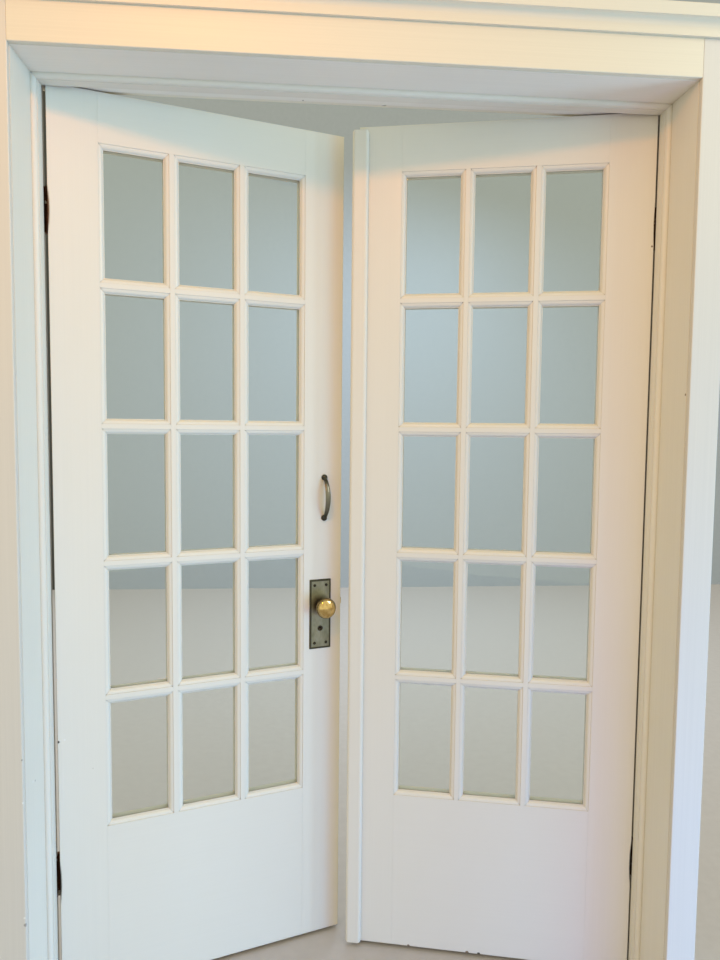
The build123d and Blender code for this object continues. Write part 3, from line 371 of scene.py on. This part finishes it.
screw_steel, tree, shader = new_finish("darkened_screw_steel")
tarnish = noise(tree, leaf_place(tree), (500, 500, 500), 4.0, 0.6)
colour = ramp(tree, tarnish, "Fac", ((0.35, (0.018, 0.015, 0.011)), (0.70, (0.095, 0.085, 0.065))))
tree.links.new(colour.outputs[0], shader.inputs["Base Color"])
shader.inputs["Metallic"].default_value = 0.7
rough = ramp(tree, tarnish, "Fac", ((0.3, grey(0.38)), (0.7, grey(0.65))))
tree.links.new(rough.outputs[0], shader.inputs["Roughness"])
tree.links.new(raised(tree, tarnish.outputs["Fac"], 0.3, 0.0002), shader.inputs["Normal"])


def choose_faces(piece, wanted):
    """Selects the faces of a piece in edit mode whose middle and normal pass the test."""
    bpy.ops.mesh.select_all(action="DESELECT")
    shape = bmesh.from_edit_mesh(piece.data)
    for face in shape.faces:
        if wanted(face.calc_center_median(), face.normal):
            face.select_set(True)
    shape.select_flush(True)
    bmesh.update_edit_mesh(piece.data)


def drawn_out(length, taper=1.0):
    """Extrudes the chosen end along Z and tapers it."""
    bpy.ops.mesh.extrude_region_move(TRANSFORM_OT_translate={"value": (0, 0, length)})
    bpy.ops.transform.resize(value=(taper, taper, 1))


def slotted_screw(name, head_radius, head_depth, shank_radius, length, thread_turns, crown=0.0):
    """A wood screw along +Z from the face it lies in. Its head is let in, or stands up in a dome of height crown."""
    neck, threaded, point = length * 0.25, length * 0.6, length * 0.15
    thread_root, point_taper = 0.76, 0.12
    bpy.ops.object.select_all(action="DESELECT")
    middle = -head_depth / 2 if crown else head_depth / 2
    bpy.ops.mesh.primitive_cylinder_add(vertices=28, radius=head_radius, depth=head_depth, location=(0, 0, middle))
    bpy.ops.object.transform_apply(location=True)
    screw = bpy.context.object
    screw.name = name
    bpy.ops.object.mode_set(mode="EDIT")
    bpy.ops.mesh.select_mode(type="FACE")
    choose_faces(screw, lambda at, normal: normal.z > 0.9)
    if crown:
        bpy.ops.mesh.inset(thickness=head_radius - shank_radius)
    else:
        bpy.ops.transform.resize(value=(shank_radius / head_radius, shank_radius / head_radius, 1))
    drawn_out(neck)
    for _ in range(thread_turns):
        drawn_out(threaded / thread_turns / 2, thread_root)
        drawn_out(threaded / thread_turns / 2, 1 / thread_root)
    drawn_out(point, point_taper)
    if crown:
        choose_faces(screw, lambda at, normal: normal.z < -0.9 and at.z < -head_depth * 0.9)
        risen, reached = 0.0, head_radius
        for angle in (25, 48, 68):
            rim = head_radius * math.cos(math.radians(angle))
            height = (crown - head_depth) * math.sin(math.radians(angle))
            bpy.ops.mesh.inset(thickness=reached - rim)
            bpy.ops.transform.translate(value=(0, 0, risen - height))
            risen, reached = height, rim
    bpy.ops.mesh.select_all(action="SELECT")
    bpy.ops.mesh.normals_make_consistent(inside=False)
    bpy.ops.object.mode_set(mode="OBJECT")
    bpy.ops.object.select_all(action="DESELECT")
    blade_length, blade_height = 0.012, 0.0020
    blade_middle = slot_depth - crown - blade_height / 2
    blade_size = (blade_length, slot_width, blade_height)
    bpy.ops.mesh.primitive_cube_add(size=1, location=(0, 0, blade_middle), scale=blade_size)
    blade = bpy.context.object
    bpy.ops.object.transform_apply(location=True, scale=True)
    bpy.ops.object.select_all(action="DESELECT")
    screw.select_set(True)
    bpy.context.view_layer.objects.active = screw
    cut = screw.modifiers.new("slot", "BOOLEAN")
    cut.operation = "DIFFERENCE"
    cut.object = blade
    bpy.ops.object.modifier_apply(modifier=cut.name)
    bpy.data.objects.remove(blade)
    bpy.ops.object.shade_smooth_by_angle(angle=math.radians(32))
    screw.data.materials.append(screw_steel)
    return screw


def on_leaf(turn):
    """Where a leaf's own frame lies: X along the leaf from its hinge pin, Y through it, Z up."""
    side = -1 if turn > 0 else 1
    if not turn:
        return Matrix.Identity(4)
    return Matrix.Translation((side * hinge_axis[0], hinge_axis[1], 0)) @ Matrix.Rotation(turn, 4, "Z")


def drive_screws(name, pattern, body, turn, stands_for, places):
    """Copies a screw to its places, each with its slot as it fell, and makes them one piece on that body."""
    copies = []
    for number, (place, way) in enumerate(places):
        copy = pattern.copy()
        copy.data = pattern.data.copy()
        bpy.context.scene.collection.objects.link(copy)
        slot_turn = Matrix.Rotation(first_slot_turn + next_slot_turn * number, 4, "Z")
        heading = Vector(way).to_track_quat("Z", "Y").to_matrix().to_4x4()
        copy.data.transform(on_leaf(turn) @ Matrix.Translation(place) @ heading @ slot_turn)
        copies.append(copy)
    bpy.ops.object.select_all(action="DESELECT")
    for copy in copies:
        copy.select_set(True)
    bpy.context.view_layer.objects.active = copies[0]
    bpy.ops.object.join()
    screws = bpy.context.object
    screws.name = name
    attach(screws, body)
    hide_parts(stands_for)


hinge_screw_rows = [
    (inward, height + step * hinge_screw_step)
    for height in hinge_heights
    for step, inward in ((-1, 0.0), (0, middle_screw_inset), (1, 0.0))
]
flat_screw = slotted_screw(
    "flat_screw", head_radius=0.0042, head_depth=0.0025, shank_radius=0.0022, length=0.0145, thread_turns=6
)
leaf_hinge_places = [(leaf_plate_face, leaf_screw_line + inward, height) for inward, height in hinge_screw_rows]
left_places = [(at, (1, 0, 0)) for at in leaf_hinge_places]
left_places += [((lock_face, lock_line, height), (-1, 0, 0)) for height in lock_screw_heights]
drive_screws("left_leaf_slotted_screws", flat_screw, "left_leaf", left_turn, "left_screws", left_places)
right_places = [((-x, y, z), (-1, 0, 0)) for x, y, z in leaf_hinge_places]
right_places += [((strike_face, lock_line, height), (1, 0, 0)) for height in strike_screw_heights]
drive_screws("right_leaf_slotted_screws", flat_screw, "right_leaf", right_turn, "right_screws", right_places)
frame_places = [
    ((side * jamb_face, jamb_screw_line + inward, height), (side, 0, 0))
    for side in (-1, 1)
    for inward, height in hinge_screw_rows
]
drive_screws("frame_slotted_screws", flat_screw, "frame", 0.0, "frame_hinge_screws", frame_places)
slide_places = [
    ((across, slide_face, height), (0, -1, 0)) for across in slide_screw_lines for height in slide_screw_heights
]
drive_screws("slide_bolt_slotted_screws", flat_screw, "right_leaf", right_turn, "bolt_screws", slide_places)
bpy.data.objects.remove(flat_screw)

dome_screw = slotted_screw(
    "dome_screw",
    head_radius=0.0040,
    head_depth=0.0007,
    shank_radius=0.0017,
    length=0.010,
    thread_turns=5,
    crown=0.0022,
)
plate_places = [
    ((across, face, height), (0, way, 0))
    for face, way in ((plate_near_face, 1), (plate_far_face, -1))
    for across in plate_screw_lines
    for height in plate_screw_heights
]
drive_screws("back_plate_slotted_screws", dome_screw, "left_leaf", left_turn, "backplate_screws", plate_places)
bpy.data.objects.remove(dome_screw)

pull_screw = slotted_screw(
    "pull_screw", head_radius=0.0039, head_depth=0.0022, shank_radius=0.0020, length=0.0478, thread_turns=10
)
pull_places = [((pull_line, pull_screw_head, height), (0, -1, 0)) for height in pull_screw_heights]
drive_screws("pull_slotted_screws", pull_screw, "left_leaf", left_turn, "pull_handle_screws", pull_places)
bpy.data.objects.remove(pull_screw)


# Mortise lock. A cast iron case is let into the lock stile, with a follower inside it and the square spindle through
# the follower. The iron has gone dark and stayed a little rough from the casting.

lock_iron, tree, shader = new_finish("dark_lock_iron")
casting = noise(tree, leaf_place(tree), (350, 350, 350), 5.0, 0.65)
colour = ramp(tree, casting, "Fac", ((0.3, (0.030, 0.028, 0.026)), (0.75, (0.095, 0.082, 0.068))))
tree.links.new(colour.outputs[0], shader.inputs["Base Color"])
shader.inputs["Metallic"].default_value = 0.6
shader.inputs["Roughness"].default_value = 0.62
tree.links.new(raised(tree, casting.outputs["Fac"], 0.5, 0.0005), shader.inputs["Normal"])
finish_nodes(lock_iron, "lock_case", "lock_follower", "spindle")


# Back plates and lock face. Two long plates with bevelled rims are screwed on both sides of the lock stile, and the
# lock's face lies flush in its edge. The plating has gone grey green and is coloured nearly black along the rims.
# Round the knob and the keyhole it is darkened by grime and by painted shade: the knob's shadow and reflection on
# the plate, and the dark of the keyhole.

plating_greens = ((0.30, (0.230, 0.228, 0.150)), (0.52, (0.320, 0.322, 0.225)), (0.74, (0.400, 0.398, 0.300)))
rim_black = (0.034, 0.032, 0.018)
grime_and_shade_brown = (0.032, 0.023, 0.011)
plating_edge = 0.0005
knob_line, knob_height, keyhole_height = 0.6522, 0.918, 0.8545
plate_middle_height, plate_half_width, plate_half_height = 0.893, 0.030, 0.0935
grime_and_shade_spots = ((knob_height, 0.031, 0.94, 2.0), (keyhole_height, 0.0082, 1.0, 5.0))


def aged_plating(name, turn, on_plate=False):
    """Dull plating. On a back plate the bevelled rim is coloured nearly black, and grime and painted shade darken it
    round the knob and keyhole.
    """
    material, tree, shader = new_finish(name)
    place = leaf_place(tree, turn)
    cloud = noise(tree, place, (48, 48, 30), 5.0, 0.6)
    fine = noise(tree, place, (800, 800, 140), 3.0, 0.6)
    colour = ramp(tree, cloud, "Fac", plating_greens)
    streak = ramp(tree, fine, "Fac", ((0.3, grey(0.88)), (0.7, grey(1.0))))
    tone = blend_colour(tree, 1.0, colour.outputs[0], streak.outputs[0], "MULTIPLY")
    rough = ramp(tree, cloud, "Fac", ((0.3, grey(0.52)), (0.7, grey(0.38))))
    if on_plate:
        parts = node(tree, "SeparateXYZ")
        plug(tree, place, "Vector", parts, "Vector")
        across = worked_out(tree, "ABSOLUTE", worked_out(tree, "SUBTRACT", parts.outputs["X"], knob_line))
        upward = worked_out(tree, "ABSOLUTE", worked_out(tree, "SUBTRACT", parts.outputs["Z"], plate_middle_height))
        side_rim = worked_out(tree, "SUBTRACT", across, plate_half_width)
        end_rim = worked_out(tree, "SUBTRACT", upward, plate_half_height)
        rim = worked_out(tree, "MAXIMUM", side_rim, end_rim)
        ragged = worked_out(tree, "MULTIPLY_ADD", cloud.outputs["Fac"], 0.0016, rim)
        edge = worked_out(tree, "MULTIPLY_ADD", ragged, 900.0, 4.6, clamp=True)
        tone = blend_colour(tree, worked_out(tree, "MULTIPLY", edge, 0.9), tone, rim_black)
        # Painted shade with grime: round the knob the knob's shadow and reflection on the plate, round the keyhole
        # the hole's dark.
        for height, reach, depth, crisp in grime_and_shade_spots:
            away = node(tree, "VectorMath", operation="LENGTH")
            spot = node(tree, "CombineXYZ")
            tree.links.new(across, spot.inputs["X"])
            tree.links.new(worked_out(tree, "SUBTRACT", parts.outputs["Z"], height), spot.inputs["Z"])
            plug(tree, spot, "Vector", away, 0)
            near = worked_out(tree, "DIVIDE", away.outputs["Value"], -reach)
            grime_and_shade_share = worked_out(tree, "MULTIPLY_ADD", near, crisp, crisp, clamp=True)
            tone = blend_colour(tree, worked_out(tree, "MULTIPLY", grime_and_shade_share, depth), tone, grime_and_shade_brown)
    tree.links.new(tone, shader.inputs["Base Color"])
    shader.inputs["Metallic"].default_value = 0.45
    tree.links.new(rough.outputs[0], shader.inputs["Roughness"])
    eased = node(tree, "Bevel", samples=4)
    eased.inputs["Radius"].default_value = plating_edge
    tree.links.new(raised(tree, fine.outputs["Fac"], 0.15, 0.0002, eased.outputs[0]), shader.inputs["Normal"])
    return material


finish_nodes(aged_plating("grey_green_back_plate", left_turn, on_plate=True), "near_backplate", "far_backplate")
finish_nodes(aged_plating("grey_green_lock_face", left_turn), "lock_faceplate")


# Knobs and bolts. The turned brass knobs on the spindle are polished, with a painted dark reflection browning them
# toward their rims. The latch bolt and the dead bolt are brass too, and slide in the lock's case.

brass_yellows = ((0.30, (0.500, 0.340, 0.120)), (0.62, (0.860, 0.670, 0.340)))
rim_reflection_brown = (0.110, 0.060, 0.018)
knob_radius = 0.027


def worn_brass(name, on_knob=False):
    """Polished brass. On a knob a painted dark reflection browns it toward its rim."""
    material, tree, shader = new_finish(name)
    place = leaf_place(tree, left_turn)
    rub = noise(tree, place, (70, 70, 70), 5.0, 0.6)
    scratch = noise(tree, place, (900, 160, 900), 3.0, 0.7)
    tone = ramp(tree, rub, "Fac", brass_yellows).outputs[0]
    if on_knob:
        # Painted reflection: the knob is browned toward its rim, where the polished ball shows a dark edge.
        from_axis = node(tree, "VectorMath", operation="MULTIPLY_ADD")
        plug(tree, place, "Vector", from_axis, 0)
        from_axis.inputs[1].default_value = (1, 0, 1)
        from_axis.inputs[2].default_value = (-knob_line, 0, -knob_height)
        out = node(tree, "VectorMath", operation="LENGTH")
        plug(tree, from_axis, 0, out, 0)
        outward = worked_out(tree, "DIVIDE", out.outputs["Value"], knob_radius)
        ragged = worked_out(tree, "MULTIPLY_ADD", rub.outputs["Fac"], 0.30, outward)
        rim_reflection_share = worked_out(tree, "MULTIPLY_ADD", ragged, 5.0, -4.7, clamp=True)
        tone = blend_colour(tree, worked_out(tree, "MULTIPLY", rim_reflection_share, 0.85), tone, rim_reflection_brown)
    tree.links.new(tone, shader.inputs["Base Color"])
    shader.inputs["Metallic"].default_value = 1.0
    rough = ramp(tree, rub, "Fac", ((0.3, grey(0.20)), (0.7, grey(0.07))))
    tree.links.new(rough.outputs[0], shader.inputs["Roughness"])
    tree.links.new(raised(tree, scratch.outputs["Fac"], 0.08, 0.0002), shader.inputs["Normal"])
    return material


finish_nodes(worn_brass("knob_brass_painted_rim_reflection", on_knob=True), "knob_near", "knob_far")
finish_nodes(worn_brass("worn_bolt_brass"), "latch_bolt", "dead_bolt")


# Latch spring. Spring steel wire is wound into a coil of five turns, which lies along the leaf behind the latch bolt
# and presses it out. It rides on the latch.

wire_radius, coil_radius = 0.0006, 0.0036
spring_turns, spring_pitch, steps_in_a_turn = 5, 0.003796, 24
spring_foot, latch_back = 0.66661, 0.68649

spring, tree, shader = new_finish("oiled_spring_steel")
oil = noise(tree, leaf_place(tree), (600, 600, 600), 3.0)
colour = ramp(tree, oil, "Fac", ((0.3, (0.16, 0.16, 0.17)), (0.7, (0.42, 0.42, 0.43))))
tree.links.new(colour.outputs[0], shader.inputs["Base Color"])
shader.inputs["Metallic"].default_value = 1.0
shader.inputs["Roughness"].default_value = 0.35

bpy.ops.object.select_all(action="DESELECT")
bpy.ops.mesh.primitive_circle_add(
    vertices=10, radius=wire_radius, location=(coil_radius, 0, 0), rotation=(math.pi / 2, 0, 0)
)
coil = bpy.context.object
coil.name = "latch_coil_spring"
bpy.ops.object.transform_apply(location=True, rotation=True)
wound = coil.modifiers.new("wound", "SCREW")
wound.screw_offset = spring_pitch
wound.iterations = spring_turns
wound.steps = wound.render_steps = steps_in_a_turn
bpy.ops.object.modifier_apply(modifier=wound.name)
bpy.ops.object.mode_set(mode="EDIT")
bpy.ops.mesh.select_all(action="SELECT")
bpy.ops.mesh.remove_doubles(threshold=0.00001)
bpy.ops.mesh.fill_holes(sides=0)
bpy.ops.mesh.select_all(action="SELECT")
bpy.ops.mesh.normals_make_consistent(inside=False)
bpy.ops.object.mode_set(mode="OBJECT")
bpy.ops.object.shade_smooth_by_angle(angle=math.radians(40))
lying = Matrix.Translation((spring_foot, lock_line, knob_height)) @ Matrix.Rotation(math.pi / 2, 4, "Y")
coil.data.transform(on_leaf(left_turn) @ lying)
coil.data.materials.append(spring)
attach(coil, "latch")
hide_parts("latch_spring")
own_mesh(coil)


# Pull. A small cast bow pull with ball feet, in dark bronze with a painted highlight lightening the front of the bow.
# It is held from the far side of the stile by its two long screws.

bronze_browns = ((0.35, (0.034, 0.033, 0.026)), (0.60, (0.090, 0.088, 0.070)), (0.8, (0.19, 0.18, 0.14)))
bow_highlight_bronze = (0.250, 0.250, 0.215)
bronze, tree, shader = new_finish("dark_bronze_painted_highlight")
place = leaf_place(tree, left_turn)
cast = noise(tree, place, (260, 260, 260), 5.0, 0.65)
colour = ramp(tree, cast, "Fac", bronze_browns)
parts = node(tree, "SeparateXYZ")
plug(tree, place, "Vector", parts, "Vector")
# Painted highlight: the bronze is lighter on the bow's front, which stands furthest out from the leaf.
bow_highlight_share = worked_out(tree, "MULTIPLY_ADD", parts.outputs["Y"], -75.0, -5.0, clamp=True)
tone = blend_colour(tree, worked_out(tree, "MULTIPLY", bow_highlight_share, 0.8), colour.outputs[0], bow_highlight_bronze)
tree.links.new(tone, shader.inputs["Base Color"])
shader.inputs["Metallic"].default_value = 0.9
rough = ramp(tree, cast, "Fac", ((0.3, grey(0.40)), (0.7, grey(0.24))))
tree.links.new(rough.outputs[0], shader.inputs["Roughness"])
tree.links.new(raised(tree, cast.outputs["Fac"], 0.25, 0.0004), shader.inputs["Normal"])
finish_nodes(bronze, "pull_handle")


# Strike plate and slide bolts. The strike plate lies flush in the right leaf's edge. Two slide bolts, screwed to that
# leaf's far face, hold it at its head and its foot. All have the same dull plating as the lock's face.

plating_right = aged_plating("grey_green_plating_right", right_turn)
finish_nodes(plating_right, "strike_plate", "top_bolt_case", "bottom_bolt_case", "top_bolt", "bottom_bolt")


# Floor and backdrop. Both are plain and pale. The backdrop has one soft band of painted shade, which stands behind
# the upper part of the gap at the left hinges, so that the gap reads dark as a shaded gap does.

stage_size, band_fade = 14.0, 0.14
painted_shade_grey = (0.060, 0.060, 0.060)


def plain_pale(name, darker, lighter, shade_band=None):
    """A plain surface, with a soft upright band of painted shade where one is asked for by its middle and half width.
    """
    material, tree, shader = new_finish(name)
    place = leaf_place(tree)
    speck = noise(tree, place, (30, 30, 30), 2.0)
    tone = ramp(tree, speck, "Fac", ((0.3, darker), (0.7, lighter))).outputs[0]
    # Painted shade: the band darkens the backdrop behind the gap at the left hinges.
    if shade_band:
        middle, half_width = shade_band
        parts = node(tree, "SeparateXYZ")
        plug(tree, place, "Vector", parts, "Vector")
        aside = worked_out(tree, "ABSOLUTE", worked_out(tree, "SUBTRACT", parts.outputs["X"], middle))
        falls_off = node(tree, "MapRange", interpolation_type="SMOOTHSTEP")
        falls_off.inputs["From Min"].default_value = half_width
        falls_off.inputs["From Max"].default_value = half_width + band_fade
        tree.links.new(aside, falls_off.inputs["Value"])
        tone = blend_colour(tree, falls_off.outputs[0], painted_shade_grey, tone)
    tree.links.new(tone, shader.inputs["Base Color"])
    shader.inputs["Roughness"].default_value = 0.8
    return material


bpy.ops.object.select_all(action="DESELECT")
bpy.ops.mesh.primitive_plane_add(size=stage_size, location=(0, 2.0, 0))
floor = bpy.context.object
floor.name = "floor"
floor.data.materials.append(plain_pale("plain_pale_floor", (0.55, 0.52, 0.56), (0.58, 0.55, 0.59)))
bpy.ops.mesh.primitive_plane_add(size=stage_size, location=(0, 4.6, 3.0), rotation=(math.pi / 2, 0, 0))
backdrop = bpy.context.object
backdrop.name = "backdrop"
backdrop.data.materials.append(
    plain_pale("plain_pale_backdrop", (0.40, 0.46, 0.57), (0.42, 0.48, 0.59), shade_band=(-2.23, 0.08))
)


# Lamps. Soft studio light: a small warm lamp high in front, cool daylight from the right, and a glow for the brass
# to mirror. The floor and backdrop are kept out of these and have a lamp of their own, so that they stay plain.

unlit = bpy.data.collections.new("kept_out_of_the_front_lights")
for stand in (floor, backdrop):
    unlit.objects.link(stand)
for link in unlit.collection_objects:
    link.light_linking.link_state = "EXCLUDE"


def lamp(name, place, aim, width, height, power, colour, mirrored=False, lights=True, on_floor=False):
    """A soft light that is never seen itself, nor through glass, and in polished things only where mirrored."""
    light = bpy.data.lights.new(name, "AREA")
    light.shape = "RECTANGLE"
    light.size = width
    light.size_y = height
    light.energy = power
    light.color = colour
    holder = bpy.data.objects.new(name, light)
    bpy.context.scene.collection.objects.link(holder)
    holder.location = place
    holder.rotation_euler = (Vector(aim) - Vector(place)).to_track_quat("-Z", "Y").to_euler()
    holder.visible_camera = False
    holder.visible_transmission = False
    holder.visible_glossy = mirrored
    holder.visible_diffuse = lights
    if not on_floor:
        holder.light_linking.receiver_collection = unlit


lamp(
    "warm_ceiling_lamp",
    place=(-0.50, -1.45, 2.64),
    aim=(0.0, 0.0, 1.5),
    width=0.14,
    height=0.14,
    power=9.35,
    colour=(1.0, 0.32, 0.02),
    mirrored=True,
)
lamp(
    "cool_window",
    place=(4.7, -4.9, 1.1),
    aim=(-0.06, 0.2, 1.0),
    width=2.5,
    height=2.4,
    power=104,
    colour=(0.07, 0.68, 1.0),
)
lamp(
    "cool_side_window",
    place=(3.2, -1.15, 0.30),
    aim=(-0.5, 0.2, 0.5),
    width=0.8,
    height=0.8,
    power=58,
    colour=(0.44, 0.74, 1.0),
)
lamp(
    "cool_floor_glow",
    place=(1.1, -1.7, 0.15),
    aim=(-0.5, 0.2, 0.5),
    width=1.2,
    height=0.3,
    power=14,
    colour=(0.02, 0.16, 1.0),
)
lamp(
    "window_in_the_brass",
    place=(1.90, -0.75, 2.6),
    aim=(-0.07, 0.18, 0.92),
    width=1.2,
    height=1.2,
    power=34,
    colour=(1.0, 0.97, 0.88),
    mirrored=True,
    lights=False,
)
lamp(
    "far_room",
    place=(0.6, 2.6, 2.9),
    aim=(0.0, 3.6, 0.0),
    width=2.4,
    height=1.6,
    power=45,
    colour=(0.70, 0.88, 1.0),
    on_floor=True,
)

world = bpy.data.worlds.new("soft_room")
world.use_nodes = True
world.node_tree.nodes["Background"].inputs["Color"].default_value = (1.0, 0.93, 0.65, 1)
world.node_tree.nodes["Background"].inputs["Strength"].default_value = 0.92
bpy.context.scene.world = world
bpy.context.scene.view_settings.view_transform = "Standard"


# Camera. It stands in front of the doors at the photograph's angle, turned a little to the right, tipped a little
# down and leaning a little to one side.

stands_at = (-0.141568, -1.703949, 1.38439)
yaw, pitch, roll = (math.radians(a) for a in (4.900345, -3.963532, 0.58477))
ahead = Vector((math.sin(yaw) * math.cos(pitch), math.cos(yaw) * math.cos(pitch), math.sin(pitch)))
level = Vector((math.cos(yaw), -math.sin(yaw), 0))
above = level.cross(ahead)
across = level * math.cos(roll) + above * math.sin(roll)
upward = above * math.cos(roll) - level * math.sin(roll)
view = bpy.data.cameras.new("photo_view")
view.sensor_fit = "AUTO"
view.sensor_width = 36.0
view.lens = 27.3165
view.clip_start = 0.05
camera = bpy.data.objects.new("photo_view", view)
bpy.context.scene.collection.objects.link(camera)
camera.matrix_world = Matrix.Translation(stands_at) @ Matrix((across, upward, -ahead)).transposed().to_4x4()
bpy.context.scene.camera = camera
